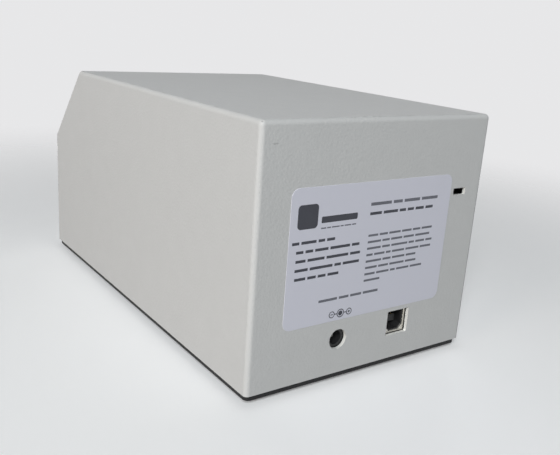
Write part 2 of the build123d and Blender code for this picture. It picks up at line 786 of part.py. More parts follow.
def upright_frame():
    """The cast upright: a wall with a bolted foot, two ribs and a notch for the lamp's cable."""
    wall = block(-upright_half_width, upright_half_width, upright_y, upright_back_y, rim_z, block_top)
    wall = fillet(wall.edges().filter_by(Axis.Y).group_by(Axis.Z)[-1], upright_corner)
    foot_back = upright_back_y + upright_foot
    foot_top = rim_z + upright_foot_thickness
    wall += block(-upright_half_width, upright_half_width, upright_back_y, foot_back, rim_z, foot_top)
    rib_top = (upright_back_y, foot_top + upright_rib_height)
    rib = Polyline((upright_back_y, foot_top), (foot_back, foot_top), rib_top, close=True)
    for x in (-upright_half_width, upright_half_width - upright_rib):
        wall += extrude(Plane.YZ.offset(x) * make_face(rib), upright_rib)
    notch = cable_notch_half_width
    wall -= block(-notch, notch, upright_y, foot_back, rim_z, rim_z + cable_notch_height)
    wall -= bar(0, mirror_z, upright_y, upright_back_y, level_bore_radius)
    for x, z in light_path_places + stage_edge_places:
        wall -= bar(x, z, upright_y, upright_back_y, shank_radius + stem_fit)
    for x, y in upright_screw_places:
        wall -= drill(x, y, rim_z, foot_top)
    return wall


def camera_tube():
    """The blackened tube between the upright and the camera, flanged at the upright."""
    tube = bar(0, mirror_z, upright_back_y, camera_y + tube_seat, tube_radius)
    tube += bar(0, mirror_z, upright_back_y, upright_back_y + tube_flange, tube_flange_radius)
    tube -= bar(0, mirror_z, upright_back_y, camera_y + tube_seat, tube_radius - tube_wall)
    for x, z in light_path_places:
        tube -= bar(x, z, upright_back_y, upright_back_y + tube_flange, shank_radius + stem_fit)
    return tube


def camera_bracket_plate():
    """The bent bracket that carries the camera, with a seat for the tube's end."""
    half = camera_bracket_half_width
    wall = block(-half, half, camera_y, camera_front_y, rim_z, mirror_z + camera_side / 2)
    wall = fillet(wall.edges().filter_by(Axis.Y).group_by(Axis.Z)[-1], camera_corner)
    foot_top = rim_z + camera_bracket
    wall += block(-half, half, camera_y - upright_foot, camera_y, rim_z, foot_top)
    notch = cable_notch_half_width
    wall -= block(-notch, notch, camera_y - upright_foot, camera_front_y, rim_z, rim_z + cable_notch_height)
    wall -= bar(0, mirror_z, camera_y, camera_front_y, level_bore_radius)
    wall -= bar(0, mirror_z, camera_y, camera_y + tube_seat, tube_radius + stem_fit)
    for x, z in camera_screw_places:
        wall -= bar(x, z, camera_y, camera_front_y, shank_radius + stem_fit)
    for x, y in camera_foot_places:
        wall -= drill(x, y, rim_z, foot_top)
    return wall


def camera_housing():
    """A case open at the front, with four screw bosses and a pedestal for the sensor board."""
    half = camera_side / 2
    case = block(-half, half, camera_front_y, camera_back_y, mirror_z - half, mirror_z + half)
    case = fillet(case.edges().filter_by(Axis.Y), camera_corner)
    room = half - camera_wall
    case -= block(-room, room, camera_front_y, camera_back_y - camera_wall, mirror_z - room, mirror_z + room)
    for x, z in camera_screw_places:
        case += bar(x, z, camera_front_y, camera_back_y - camera_wall, camera_boss_radius)
        case -= bar(x, z, camera_front_y, camera_front_y + short_screw, shank_radius + stem_fit)
    stand = camera_pedestal_half_width
    board_back = camera_front_y + sensor_stand + sensor_board_thickness
    case += block(-stand, stand, board_back, camera_back_y - camera_wall, mirror_z - stand, mirror_z + stand)
    return case - post(0, camera_cable_y, mirror_z - half, mirror_z - stand, cable_radius + cable_hole_play)


def sensor_board():
    half = sensor_board_side / 2
    y0 = camera_front_y + sensor_stand
    return block(-half, half, y0, y0 + sensor_board_thickness, mirror_z - half, mirror_z + half)


def image_sensor():
    half = sensor_side / 2
    y1 = camera_front_y + sensor_stand
    return block(-half, half, y1 - sensor_thickness, y1, mirror_z - half, mirror_z + half)


def lamp_block():
    """The finned heat sink under the lamp."""
    x, y = lamp_block_width / 2, lamp_block_depth / 2
    solid = block(-x, x, optic_y - y, optic_y + y, rim_z, lamp_block_top)
    solid = fillet(upright_edges(solid), carriage_corner)
    for sx, sy in lamp_screw_places:
        solid -= drill(sx, sy, rim_z, lamp_block_top)
    back = optic_y + y
    return solid - bar(0, lamp_cable_z, back - cable_seat, back, cable_radius + cable_hole_play)


def lamp_emitter():
    """The light-emitting diode: a round base and a clear dome."""
    base_top = lamp_block_top + emitter_base
    base = post(0, optic_y, lamp_block_top, base_top, emitter_radius)
    upper_half = Sphere(emitter_dome_radius, arc_size1=0, align=(Align.CENTER, Align.CENTER, Align.MIN))
    dome = Pos(0, optic_y, base_top) * upper_half
    return base + dome


def condenser_tube():
    tube = post(0, optic_y, lamp_block_top, condenser_top, condenser_radius)
    inside = condenser_radius - condenser_wall
    seat = condenser_top - condenser_lens_drop - condenser_lens
    tube -= post(0, optic_y, seat, condenser_top, inside)
    return tube - post(0, optic_y, lamp_block_top, seat, inside - condenser_ledge)


def condenser_lens_piece():
    z1 = condenser_top - condenser_lens_drop
    radius = condenser_radius - condenser_wall - stem_fit
    return lens(0, optic_y, z1 - condenser_lens, z1, radius, condenser_lens / 2)


def objective_lens_piece():
    z0 = objective_top - objective_lens_seat
    return lens(0, optic_y, z0, z0 + objective_lens, objective_lens_radius, objective_lens / 3)


# ---------------------------------------------------------------- electronics
def main_board():
    board = block(-board_width / 2, board_width / 2, board_front_y, board_back_y, board_bottom, board_top)
    board = fillet(upright_edges(board), board_thickness)
    for x, y in standoff_places:
        board -= drill(x, y, board_bottom, board_top)
    return board


def board_standoffs():
    return together(drilled_post(x, y, board_bottom) for x, y in standoff_places)


def data_mouth(y, depth, lip):
    """The data plug's outline cut forward from y: square, with two cut lower corners, and wider by lip."""
    x, z = data_cavity_width / 2 + lip, data_cavity_height / 2 + lip
    cut = data_cavity_chamfer + lip * (2 - math.sqrt(2))
    outline = Polyline(
        (data_x - x, data_z + z),
        (data_x + x, data_z + z),
        (data_x + x, data_z - z + cut),
        (data_x + x - cut, data_z - z),
        (data_x - x + cut, data_z - z),
        (data_x - x, data_z - z + cut),
        close=True,
    )
    return Pos(0, y, 0) * extrude(Plane.XZ * make_face(outline), depth)


def data_socket_shell():
    """The folded metal shell of the square data socket under the board, with a mouth in its end."""
    half = data_shell_width / 2
    y0 = socket_y - data_shell_depth
    shell = block(data_x - half, data_x + half, y0, socket_y, board_bottom - data_shell_height, board_bottom)
    wall = data_shell_wall
    room = half - wall
    z0, z1 = board_bottom - data_shell_height + wall, board_bottom - wall
    shell -= block(data_x - room, data_x + room, y0 + wall, socket_y - wall, z0, z1)
    return shell - data_mouth(socket_y, wall, data_mouth_lip)


def data_socket_core():
    """The moulding inside the shell: a cavity with two cut corners round a contact tongue."""
    wall = data_shell_wall
    half = data_shell_width / 2 - wall
    y0, y1 = socket_y - data_shell_depth + wall, socket_y - wall
    z0, z1 = board_bottom - data_shell_height + wall, board_bottom - wall
    core = block(data_x - half, data_x + half, y0, y1, z0, z1)
    core -= data_mouth(y1, data_cavity_depth, 0)
    w, h = data_tongue_width / 2, data_tongue_height / 2
    tip = socket_y - data_tongue_set
    return core + block(data_x - w, data_x + w, y1 - data_cavity_depth, tip, data_z - h, data_z + h)


def power_jack():
    """The moulded low-voltage jack under the board, with its round bore."""
    half = jack_body_width / 2
    y0 = socket_y - jack_body_depth
    body = block(jack_x - half, jack_x + half, y0, socket_y, board_bottom - jack_body_height, board_bottom)
    return body - bar(jack_x, jack_z, socket_y - jack_bore_depth, socket_y, jack_bore_radius)


def power_jack_pin():
    pin = bar(jack_x, jack_z, socket_y - jack_bore_depth, socket_y - jack_pin_set, jack_pin_radius)
    return fillet(pin.edges().group_by(Axis.Y)[-1], jack_pin_radius / 2)


def controller_chip():
    half = chip_side / 2
    y = (board_front_y + board_back_y) / 2
    return block(data_x - half, data_x + half, y - half, y + half, board_top, board_top + chip_thickness)


def capacitors():
    x = board_width / 2 - board_hole_margin
    y = (board_front_y + board_back_y - capacitor_pitch * (capacitor_count - 1)) / 2
    return together(
        post(x, y + k * capacitor_pitch, board_top, board_top + capacitor_height, capacitor_radius)
        for k in range(capacitor_count)
    )


def board_connectors():
    """The plug headers of the lamp's and the camera's cables."""
    header = Box(connector_width, connector_depth, connector_height)
    middle = board_top + connector_height / 2
    return together(Pos(x, y, middle) * header for x, y in connector_places)


def cable(points):
    """A round cable along a route, each bend as wide as its two runs allow."""
    radii = []
    for a, b, c in zip(points, points[1:], points[2:]):
        before, after = Vector(*b) - Vector(*a), Vector(*c) - Vector(*b)
        shorter = min(before.length, after.length)
        radii.append(0.45 * shorter / math.tan(math.radians(before.get_angle(after)) / 2))
    route = FilletPolyline(*points, radius=radii)
    start = Plane(origin=points[0], z_dir=route % 0)
    return sweep(start * Circle(cable_radius), path=route)


lamp_connector_x, lamp_connector_y = connector_places[0]
camera_connector_x, camera_connector_y = connector_places[1]
connector_mid_z = board_top + connector_height / 2
cable_run = board_front_y - upright_back_y
cable_rise_y = board_front_y - board_clearance / 2
lamp_cable_route = [
    (0, optic_y + lamp_block_depth / 2 - cable_seat, lamp_cable_z),
    (0, upright_y, lamp_cable_z),
    (cable_sway, upright_back_y + 0.2 * cable_run, lamp_cable_z),
    (-cable_sway, upright_back_y + 0.5 * cable_run, lamp_cable_z),
    (0, upright_back_y + 0.75 * cable_run, lamp_cable_z),
    (lamp_connector_x, cable_rise_y, lamp_cable_z),
    (lamp_connector_x, cable_rise_y, connector_mid_z),
    (lamp_connector_x, lamp_connector_y - connector_depth / 2, connector_mid_z),
]
camera_cable_route = [
    (0, camera_cable_y, mirror_z - camera_pedestal_half_width),
    (0, camera_cable_y, mirror_z - camera_side),
    (camera_connector_x, camera_connector_y, board_top + 3 * connector_height),
    (camera_connector_x, camera_connector_y, board_top + connector_height),
]


# ---------------------------------------------------------------- screws by length
def flat_head_screws():
    return together(flat_screw(x, y) for x, y in cover_screw_places + base_screw_places)


def short_screws():
    made = [pan_screw(x, y, sunk_seat, short_screw) for x, y in post_places]
    made += [pan_screw(x, y, stage_top + bearing_leg, short_screw) for x, y in bearing_screw_places]
    made += [pan_screw(x, y, board_top, short_screw) for x, y in standoff_places]
    made += [level_screw(x, z, camera_y, short_screw, 1) for x, z in camera_screw_places]
    return together(made)


def rail_screws():
    made = []
    for x, y in guide_screw_places:
        seat = guide_top + (spring_strip if y == spring_y else 0)
        made.append(pan_screw(x, y, seat, rail_screw))
    return together(made)


def long_screws():
    made = [level_screw(x, z, upright_back_y + tube_flange, long_screw, -1) for x, z in light_path_places]
    made += [level_screw(x, z, upright_back_y, long_screw, -1) for x, z in stage_edge_places]
    return together(made)


# ---------------------------------------------------------------- every node, by name
nodes = {
    "cover": cover(),
    "rating_label": rating_label(),
    "base_plate": base_plate(),
    "slide_bezel": slide_bezel(),
    "power_light": power_light(),
    "stage_plate": stage_plate(),
    "stage_posts": stage_posts(),
    "slide_guide": slide_guide(),
    "focus_wheel": focus_wheel(),
    "hub_set_screw": hub_set_screw(),
    "lead_screw": lead_screw(),
    "retaining_ring": retaining_ring(),
    "lower_screw_bush": flanged_bush(stage_bottom, stage_top, stage_top),
    "upper_screw_bush": flanged_bush(bearing_z, bearing_z + bearing_leg, bearing_z + bearing_leg),
    "bearing_bracket": bearing_bracket(),
    "focus_nut": focus_nut(),
    "focus_carriage": focus_carriage(),
    "objective_barrel": objective_barrel(),
    "objective_lens": objective_lens_piece(),
    "mirror_block": mirror_block(),
    "fold_mirror": fold_mirror(),
    "upright_frame": upright_frame(),
    "camera_tube": camera_tube(),
    "camera_bracket": camera_bracket_plate(),
    "camera_housing": camera_housing(),
    "sensor_board": sensor_board(),
    "image_sensor": image_sensor(),
    "lamp_block": lamp_block(),
    "lamp_emitter": lamp_emitter(),
    "condenser_tube": condenser_tube(),
    "condenser_lens": condenser_lens_piece(),
    "main_board": main_board(),
    "board_standoffs": board_standoffs(),
    "data_socket_shell": data_socket_shell(),
    "data_socket_core": data_socket_core(),
    "power_jack": power_jack(),
    "power_jack_pin": power_jack_pin(),
    "controller_chip": controller_chip(),
    "capacitors": capacitors(),
    "board_connectors": board_connectors(),
    "lamp_cable": cable(lamp_cable_route),
    "camera_cable": cable(camera_cable_route),
    "flat_head_screws": flat_head_screws(),
    "short_screws": short_screws(),
    "rail_screws": rail_screws(),
    "long_screws": long_screws(),
}
for side, hand in ((-1, "left"), (1, "right")):
    nodes[f"guide_rod_{hand}"] = guide_rod(side)
    nodes[f"rod_bush_{hand}"] = rod_bush(side)
    nodes[f"slide_spring_{hand}"] = slide_spring(side)
    for y, end in zip(lug_ys, ("front", "rear")):
        nodes[f"cover_lug_{end}_{hand}"] = cover_lug(side, y)
for (x, y), corner in zip(foot_places, ("front_left", "rear_left", "front_right", "rear_right")):
    nodes[f"foot_{corner}"] = rubber_foot(x, y)

for name, shape in nodes.items():
    export_step(shape, f"parts/{name}.step")
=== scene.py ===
"""Looks for a bench-top cell counter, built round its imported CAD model. Lengths are in metres."""

import math
import random

import bmesh
import bpy
from mathutils import Matrix, Vector


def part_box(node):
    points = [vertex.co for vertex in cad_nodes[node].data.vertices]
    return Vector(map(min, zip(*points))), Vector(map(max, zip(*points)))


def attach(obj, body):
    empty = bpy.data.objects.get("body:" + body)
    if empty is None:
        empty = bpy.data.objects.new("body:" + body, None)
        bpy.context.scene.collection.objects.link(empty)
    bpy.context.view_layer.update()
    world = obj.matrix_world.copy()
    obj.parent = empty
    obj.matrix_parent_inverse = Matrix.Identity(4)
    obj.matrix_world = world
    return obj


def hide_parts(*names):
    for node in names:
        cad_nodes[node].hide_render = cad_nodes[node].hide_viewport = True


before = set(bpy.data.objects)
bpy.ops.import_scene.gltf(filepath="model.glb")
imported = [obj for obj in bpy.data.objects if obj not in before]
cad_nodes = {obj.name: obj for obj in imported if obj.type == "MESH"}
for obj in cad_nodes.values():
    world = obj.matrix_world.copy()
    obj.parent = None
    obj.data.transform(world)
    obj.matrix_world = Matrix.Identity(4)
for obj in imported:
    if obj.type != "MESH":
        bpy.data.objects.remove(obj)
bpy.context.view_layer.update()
instrument = "instrument"
mm = 0.001

# ---------------------------------------------------------------- camera
camera_place = Vector((0.19352, 0.31234, 0.14333))
camera_aim = Vector((-0.01805, 0.01905, 0.03817))
camera_roll = math.radians(-3.99)
camera_lens = 45.27
sensor_width = 36.0


def make_camera():
    data = bpy.data.cameras.new("camera")
    data.lens = camera_lens
    data.sensor_width = sensor_width
    forward = (camera_aim - camera_place).normalized()
    level = forward.cross(Vector((0, 0, 1))).normalized()
    right = Matrix.Rotation(camera_roll, 3, forward) @ level
    up = right.cross(forward)
    camera = bpy.data.objects.new("camera", data)
    turned = Matrix((right, up, -forward)).transposed().to_4x4()
    camera.matrix_world = Matrix.Translation(camera_place) @ turned
    bpy.context.scene.collection.objects.link(camera)
    bpy.context.scene.camera = camera


# ---------------------------------------------------------------- lights and floor
ambient_strength = 0.13
ambient_colour = (0.95, 0.99, 1.0)
backdrop_colour = (0.80, 0.80, 0.81)
floor_colour = (0.90, 0.90, 0.91)
floor_bounce = (0.30, 0.30, 0.30)  # the floor's colour in the light that it sends back up
floor_radius = 3.0
floor_sides = 96
floor_roughness = 0.9
floor_glow = 0.13  # what the camera alone sees the floor give off
floor_fade = (0.13, 0.60)  # where the floor starts and ends its fade into the backdrop
soft_lights = (  # name, place, size, watts, colour
    ("key", (0.95, 1.145, 1.035), 0.7, 22.0, (0.945, 0.985, 1.0)),
    ("side", (1.52, 0.41, 0.23), 0.6, 9.2, (1.0, 0.925, 0.85)),
)
fill_place = (-0.95, -0.80, 0.075)
fill_spread = 14.0  # degrees
fill_strength = 2.5
fill_colour = (0.98, 0.99, 1.0)
light_aim = (0, 0, 0.05)


def place_light(name, data, place, colour, power):
    data.energy = power
    data.color = colour
    light = bpy.data.objects.new(name, data)
    light.location = place
    light.rotation_mode = "QUATERNION"
    light.rotation_quaternion = (Vector(light_aim) - Vector(place)).to_track_quat("-Z", "Y")
    bpy.context.scene.collection.objects.link(light)
    return light


def make_soft_lights():
    """The main light behind the camera's left shoulder, and a warmer one level with the side."""
    for name, place, size, power, colour in soft_lights:
        data = bpy.data.lights.new(name, "AREA")
        data.shape = "DISK"
        data.size = size
        place_light(name, data, place, colour, power)


def make_fill():
    """A level light on the sides that the key leaves dark; it isn't seen in gloss."""
    data = bpy.data.lights.new("fill", "SUN")
    data.angle = math.radians(fill_spread)
    place_light("fill", data, fill_place, fill_colour, fill_strength).visible_glossy = False


def seen_directly(tree):
    """1 for rays from the camera, straight or through glass or off gloss, and 0 for diffuse light."""
    ray = tree.nodes.new("ShaderNodeLightPath")
    shown = ray.outputs["Is Camera Ray"]
    for kind in ("Is Glossy Ray", "Is Transmission Ray"):
        either = tree.nodes.new("ShaderNodeMath")
        either.operation = "MAXIMUM"
        tree.links.new(shown, either.inputs[0])
        tree.links.new(ray.outputs[kind], either.inputs[1])
        shown = either.outputs["Value"]
    return shown


def make_world():
    world = bpy.data.worlds.new("studio")
    bpy.context.scene.world = world
    world.use_nodes = True
    tree = world.node_tree
    tree.nodes.clear()
    out = tree.nodes.new("ShaderNodeOutputWorld")
    ambient = tree.nodes.new("ShaderNodeBackground")
    ambient.inputs["Color"].default_value = (*ambient_colour, 1)
    ambient.inputs["Strength"].default_value = ambient_strength
    seen = tree.nodes.new("ShaderNodeBackground")
    seen.inputs["Color"].default_value = (*backdrop_colour, 1)
    seen.inputs["Strength"].default_value = 1.0
    mix = tree.nodes.new("ShaderNodeMixShader")
    tree.links.new(seen_directly(tree), mix.inputs["Fac"])
    tree.links.new(ambient.outputs["Background"], mix.inputs[1])
    tree.links.new(seen.outputs["Background"], mix.inputs[2])
    tree.links.new(mix.outputs["Shader"], out.inputs["Surface"])


def make_floor():
    """A round floor that fades into the backdrop with its distance from the instrument."""
    bm = bmesh.new()
    bmesh.ops.create_circle(bm, cap_ends=True, segments=floor_sides, radius=floor_radius)
    floor = bpy.data.objects.new("floor", from_bmesh("floor", bm))
    bpy.context.scene.collection.objects.link(floor)
    material, tree, shader = new_material("floor_paper")
    seen = seen_directly(tree)
    tree.links.new(blend_colours(tree, seen, floor_bounce, floor_colour), shader.inputs["Base Color"])
    shader.inputs["Emission Color"].default_value = (1, 1, 1, 1)
    tree.links.new(spread(tree, seen, 0.0, 1.0, 0.0, floor_glow), shader.inputs["Emission Strength"])
    shader.inputs["Roughness"].default_value = floor_roughness
    shader.inputs["Specular IOR Level"].default_value = 0.0
    place = tree.nodes.new("ShaderNodeTexCoord")
    distance = tree.nodes.new("ShaderNodeVectorMath")
    distance.operation = "LENGTH"
    tree.links.new(place.outputs["Object"], distance.inputs[0])
    fade = spread(tree, distance.outputs["Value"], *floor_fade, 0.0, 1.0)
    tree.nodes[fade.node.name].interpolation_type = "SMOOTHSTEP"
    clear = tree.nodes.new("ShaderNodeBsdfTransparent")
    mix = tree.nodes.new("ShaderNodeMixShader")
    tree.links.new(fade, mix.inputs["Fac"])
    tree.links.new(shader.outputs["BSDF"], mix.inputs[1])
    tree.links.new(clear.outputs["BSDF"], mix.inputs[2])
    tree.links.new(mix.outputs["Shader"], tree.nodes["out"].inputs["Surface"])
    floor.data.materials.append(material)


# ---------------------------------------------------------------- materials
colour_sockets = {"A": 6, "B": 7}  # a Mix node's inputs and output for colours
mixed_colour = 2
noise_middle = (0.3, 0.7)  # where most of a noise's values lie
pebble_share = 0.55  # sizes in the powder coat over that of its grain
ripple_share = 9
smudge_size = 35 * mm


def new_material(name):
    """A material with a Principled shader: (material, node tree, shader)."""
    material = bpy.data.materials.new(name)
    material.use_nodes = True
    tree = material.node_tree
    tree.nodes.clear()
    out = tree.nodes.new("ShaderNodeOutputMaterial")
    out.name = "out"
    shader = tree.nodes.new("ShaderNodeBsdfPrincipled")
    tree.links.new(shader.outputs["BSDF"], out.inputs["Surface"])
    return material, tree, shader


def noise(tree, size, detail=3.0, stretch=(1, 1, 1)):
    """A noise value whose features are about size metres across."""
    place = tree.nodes.new("ShaderNodeTexCoord")
    scale = tree.nodes.new("ShaderNodeMapping")
    scale.inputs["Scale"].default_value = stretch
    texture = tree.nodes.new("ShaderNodeTexNoise")
    texture.inputs["Scale"].default_value = 1 / size
    texture.inputs["Detail"].default_value = detail
    tree.links.new(place.outputs["Object"], scale.inputs["Vector"])
    tree.links.new(scale.outputs["Vector"], texture.inputs["Vector"])
    return texture.outputs["Fac"]


def cells(tree, size):
    """The distance to the nearest of random points about size metres apart."""
    place = tree.nodes.new("ShaderNodeTexCoord")
    texture = tree.nodes.new("ShaderNodeTexVoronoi")
    texture.inputs["Scale"].default_value = 1 / size
    tree.links.new(place.outputs["Object"], texture.inputs["Vector"])
    return texture.outputs["Distance"]


def spread(tree, value, low, high, to_low, to_high):
    """value mapped from low..high to to_low..to_high, held at the ends."""
    node = tree.nodes.new("ShaderNodeMapRange")
    node.inputs["From Min"].default_value = low
    node.inputs["From Max"].default_value = high
    node.inputs["To Min"].default_value = to_low
    node.inputs["To Max"].default_value = to_high
    tree.links.new(value, node.inputs["Value"])
    return node.outputs["Result"]


def roughen(tree, shader, value, low, high):
    """Roughness from low to high over the middle of a noise's values."""
    rough = spread(tree, value, *noise_middle, low, high)
    tree.links.new(rough, shader.inputs["Roughness"])


def blend_colours(tree, factor, first, second):
    """A colour that goes from first to second as factor goes from 0 to 1."""
    node = tree.nodes.new("ShaderNodeMix")
    node.data_type = "RGBA"
    for socket, colour in (("A", first), ("B", second)):
        if isinstance(colour, tuple):
            node.inputs[colour_sockets[socket]].default_value = (*colour, 1)
        else:
            tree.links.new(colour, node.inputs[colour_sockets[socket]])
    tree.links.new(factor, node.inputs[0])
    return node.outputs[mixed_colour]


def bump(tree, shader, height, depth, before=None):
    """Adds a bump of that depth in metres; before is an earlier bump's normal."""
    node = tree.nodes.new("ShaderNodeBump")
    node.inputs["Strength"].default_value = 1.0
    node.inputs["Distance"].default_value = depth
    tree.links.new(height, node.inputs["Height"])
    if before is not None:
        tree.links.new(before, node.inputs["Normal"])
    tree.links.new(node.outputs["Normal"], shader.inputs["Normal"])
    return node.outputs["Normal"]


def shade(colour, factor):
    return tuple(min(1.0, c * factor) for c in colour)


def finish_of(
    name, colour, roughness, grain, depth, mottle=0.04, metallic=0.0, coat=0.0, stretch=(1, 1, 1)
):
    """A surface with mottled colour, uneven roughness and a fine grain of that size and depth."""
    material, tree, shader = new_material(name)
    broad = noise(tree, 14 * grain, 2.0)
    tint = blend_colours(tree, broad, shade(colour, 1 - mottle), shade(colour, 1 + mottle))
    tree.links.new(tint, shader.inputs["Base Color"])
    fine = noise(tree, grain, 3.0, stretch)
    roughen(tree, shader, fine, roughness - 0.06, min(1.0, roughness + 0.06))
    bump(tree, shader, fine, depth)
    shader.inputs["Metallic"].default_value = metallic
    if coat:
        shader.inputs["Coat Weight"].default_value = coat
        shader.inputs["Coat Roughness"].default_value = 0.2
    return material


def powder_coat(name, colour, roughness, grain, depth):
    """Textured powder coat: leathery grain over a slow ripple, faint handling marks, and painted shade in
    the grain's pits.
    """
    material, tree, shader = new_material(name)
    leather = cells(tree, grain)
    pebble = noise(tree, grain * pebble_share, 4.0)
    ripple = noise(tree, grain * ripple_share, 2.0)
    smudge = noise(tree, smudge_size, 5.0)
    low = blend_colours(tree, ripple, shade(colour, 0.975), shade(colour, 1.02))
    worn = spread(tree, smudge, 0.60, 0.75, 0.0, 0.10)
    marked = blend_colours(tree, worn, low, shade(colour, 0.82))
    # painted shade: the grain's pits darkened
    pit_shade = spread(tree, leather, 0.0, 0.22, 0.12, 0.0)
    tinted = blend_colours(tree, pit_shade, marked, shade(colour, 0.6))
    tree.links.new(tinted, shader.inputs["Base Color"])
    roughen(tree, shader, pebble, roughness - 0.07, roughness + 0.07)
    shader.inputs["Specular IOR Level"].default_value = coat_shine
    slow = bump(tree, shader, ripple, depth * 0.3)
    grainy = bump(tree, shader, leather, depth, slow)
    bump(tree, shader, pebble, depth * 0.6, grainy)
    return material, tree, shader, tinted


def coordinate(tree, axis, source="Object"):
    """One coordinate of the object's own space, or of its surface's direction."""
    place = tree.nodes.new("ShaderNodeTexCoord")
    split = tree.nodes.new("ShaderNodeSeparateXYZ")
    tree.links.new(place.outputs[source], split.inputs["Vector"])
    return split.outputs[axis]


def compare(tree, value, operation, other):
    node = tree.nodes.new("ShaderNodeMath")
    node.operation = operation
    for socket, item in zip(node.inputs, (value, other)):
        if isinstance(item, (int, float)):
            socket.default_value = item
        else:
            tree.links.new(item, socket)
    return node.outputs["Value"]


def spot(tree, centre, reach):
    """A soft spot: 1 at centre and 0 beyond reach, which has one radius for each axis."""
    place = tree.nodes.new("ShaderNodeTexCoord")
    shift = tree.nodes.new("ShaderNodeVectorMath")
    shift.operation = "SUBTRACT"
    shift.inputs[1].default_value = centre
    scale = tree.nodes.new("ShaderNodeVectorMath")
    scale.operation = "DIVIDE"
    scale.inputs[1].default_value = reach
    length = tree.nodes.new("ShaderNodeVectorMath")
    length.operation = "LENGTH"
    tree.links.new(place.outputs["Object"], shift.inputs[0])
    tree.links.new(shift.outputs["Vector"], scale.inputs[0])
    tree.links.new(scale.outputs["Vector"], length.inputs[0])
    return spread(tree, length.outputs["Value"], 0.55, 1.0, 1.0, 0.0)


def cover_paint():
    """The cover's coat, with a small scuff and the painted shade of a pinhole near one corner, and a
    painted highlight on the cut edges in the rear windows.
    """
    material, tree, shader, colour = powder_coat(
        "case_paint", case_colour, coat_roughness, coat_grain, coat_depth
    )
    for centre, reach, tone in scuff_and_pinhole_shade:
        colour = blend_colours(tree, spot(tree, centre, reach), colour, shade(case_colour, tone))
    inside = compare(tree, coordinate(tree, "Y"), "GREATER_THAN", cover_high.y - 2 * edge_depth)
    across = compare(tree, coordinate(tree, "X"), "ABSOLUTE", 0)
    inside = compare(tree, inside, "MULTIPLY", compare(tree, across, "LESS_THAN", edge_reach))
    inside = compare(tree, inside, "MULTIPLY", compare(tree, coordinate(tree, "Z"), "LESS_THAN", edge_top))
    facing = compare(tree, coordinate(tree, "Y", "Normal"), "ABSOLUTE", 0)
    cut = compare(tree, inside, "MULTIPLY", compare(tree, facing, "LESS_THAN", edge_slant))
    # painted highlight: the cut edges in the rear windows made lighter than the coat
    colour = blend_colours(tree, cut, colour, cut_edge_highlight_colour)
    tree.links.new(colour, shader.inputs["Base Color"])
    return material


def thread_of(name, colour, pitch):
    """Bright steel with a fine thread along Z, with painted shade in its valleys."""
    material, tree, shader = new_material(name)
    shader.inputs["Metallic"].default_value = 1.0
    turns = tree.nodes.new("ShaderNodeTexWave")
    turns.wave_type = "BANDS"
    turns.bands_direction = "Z"
    turns.inputs["Scale"].default_value = math.pi / 10 / pitch
    place = tree.nodes.new("ShaderNodeTexCoord")
    tree.links.new(place.outputs["Object"], turns.inputs["Vector"])
    # painted shade: the thread's valleys darkened
    valley_shade = blend_colours(tree, turns.outputs["Fac"], shade(colour, 0.45), colour)
    tree.links.new(valley_shade, shader.inputs["Base Color"])
    roughen(tree, shader, noise(tree, 0.0008), 0.24, 0.36)
    bump(tree, shader, turns.outputs["Fac"], 0.0001)
    return material


def clear_glass(name, colour, roughness=0.02):
    material, tree, shader = new_material(name)
    shader.inputs["Base Color"].default_value = (*colour, 1)
    shader.inputs["Transmission Weight"].default_value = 1.0
    shader.inputs["IOR"].default_value = 1.5
    roughen(tree, shader, noise(tree, 0.003), roughness, roughness + 0.03)
    return material


def circuit_board(name, colour):
    """Solder resist over a pattern of tracks."""
    material, tree, shader = new_material(name)
    place = tree.nodes.new("ShaderNodeTexCoord")
    tracks = tree.nodes.new("ShaderNodeTexBrick")
    tracks.inputs["Scale"].default_value = track_scale
    tracks.inputs["Mortar Size"].default_value = track_width
    tracks.inputs["Color1"].default_value = (*colour, 1)
    tracks.inputs["Color2"].default_value = (*shade(colour, 0.8), 1)
    tracks.inputs["Mortar"].default_value = (*shade(colour, 1.7), 1)
    tree.links.new(place.outputs["Object"], tracks.inputs["Vector"])
    tree.links.new(tracks.outputs["Color"], shader.inputs["Base Color"])
    roughen(tree, shader, noise(tree, 0.002), 0.3, 0.45)
    bump(tree, shader, tracks.outputs["Fac"], 0.00003)
    return material


cover_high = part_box("cover")[1]
case_colour = (0.588, 0.588, 0.586)
coat_roughness = 0.52
coat_shine = 0.32
coat_grain = 1.1 * mm
coat_depth = 0.06 * mm
# painted highlight: a lighter colour for the windows' cut edges, standing for the light they catch
cut_edge_highlight_colour = (0.72, 0.72, 0.70)
edge_depth = 1.5 * mm  # the sheet's thickness, seen in the windows
edge_reach = 53 * mm  # the windows lie within this of the middle
edge_top = 95 * mm
edge_slant = 0.5  # a cut edge faces sideways, by this much of its normal
rear_corner = Vector((cover_high.x, cover_high.y, cover_high.z))
# a dark scuff of two spots, and a dark dot of painted shade where the corner's pinhole is
scuff_and_pinhole_shade = (
    (rear_corner - Vector((6.6, 0.0, 8.35)) * mm, Vector((1.7, 0.5, 0.38)) * mm, 0.78),
    (rear_corner - Vector((6.1, 0.0, 8.5)) * mm, Vector((0.6, 0.5, 0.4)) * mm, 0.76),
    # painted shade: the dark of the pinhole at the corner
    (rear_corner - Vector((0.95, 0.95, 0.65)) * mm, Vector((0.55, 0.55, 0.35)) * mm, 0.68),
)
track_scale = 180  # the circuit board's pattern
track_width = 0.03
black_colour = (0.012, 0.012, 0.013)
film_colour = (0.655, 0.655, 0.735)
ink_colour = (0.040, 0.042, 0.055)

case_paint = cover_paint()
